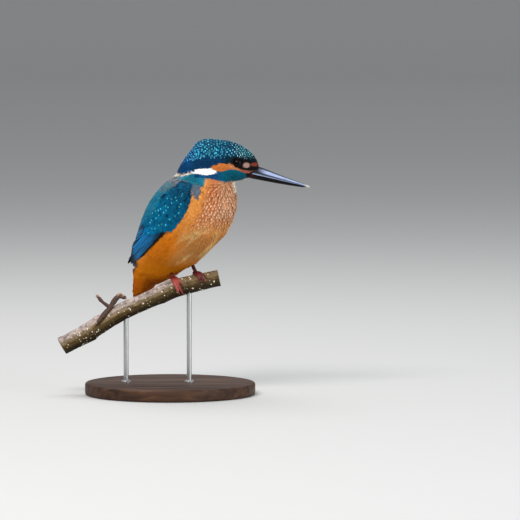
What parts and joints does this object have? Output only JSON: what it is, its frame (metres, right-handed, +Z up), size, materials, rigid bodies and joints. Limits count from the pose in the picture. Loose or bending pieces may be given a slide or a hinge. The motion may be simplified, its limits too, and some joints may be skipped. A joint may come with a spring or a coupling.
{
  "type": "common kingfisher",
  "caption": "Life-size kingfisher perched on a cut branch, head in profile, blue-green above and rust-orange below, on a plain display stand with a flat round base and short rods.",
  "frame": {"origin": "middle of the underside of the display stand's base", "axes": "+Z up; +X the way the head and bill look; -Y towards the side that the breast is turned to, so the tail is on the +Y side of the branch"},
  "size_m": [0.1713, 0.116, 0.1743],
  "materials": {
    "plumage_blue": "silky feather vanes, deep blue-green with brilliant azure tips",
    "plumage_rust": "soft matte feathers, rust-orange with paler edges",
    "bill_horn": "satin black horn with a pale tip and a pinkish root below",
    "eye": "wet, glossy, very dark brown",
    "foot_skin": "scaly coral-red skin",
    "claw_horn": "satin dark horn",
    "bark": "smooth dark bark with pale breathing spots, cut ends of pale wood",
    "rod_steel": "brushed",
    "base_wood": "dark stained wood, satin lacquer"
  },
  "bodies": {
    "root": {"head": "plumage_blue", "neck": "plumage_rust", "trunk": "plumage_rust", "tail": "plumage_rust", "wing_right": "plumage_blue", "wing_left": "plumage_blue", "bill_upper": "bill_horn", "bill_lower": "bill_horn", "eye_right": "eye", "eye_left": "eye", "leg_right": "foot_skin", "leg_left": "foot_skin", "foot_right": "foot_skin", "foot_left": "foot_skin", "claw_right_inner": "claw_horn", "claw_right_middle": "claw_horn", "claw_right_outer": "claw_horn", "claw_right_hind": "claw_horn", "claw_left_inner": "claw_horn", "claw_left_middle": "claw_horn", "claw_left_outer": "claw_horn", "claw_left_hind": "claw_horn", "perch_branch": "bark", "perch_spur": "bark", "stand_rod_left": "rod_steel", "stand_rod_right": "rod_steel", "stand_base": "base_wood"}
  },
  "joints": []
}
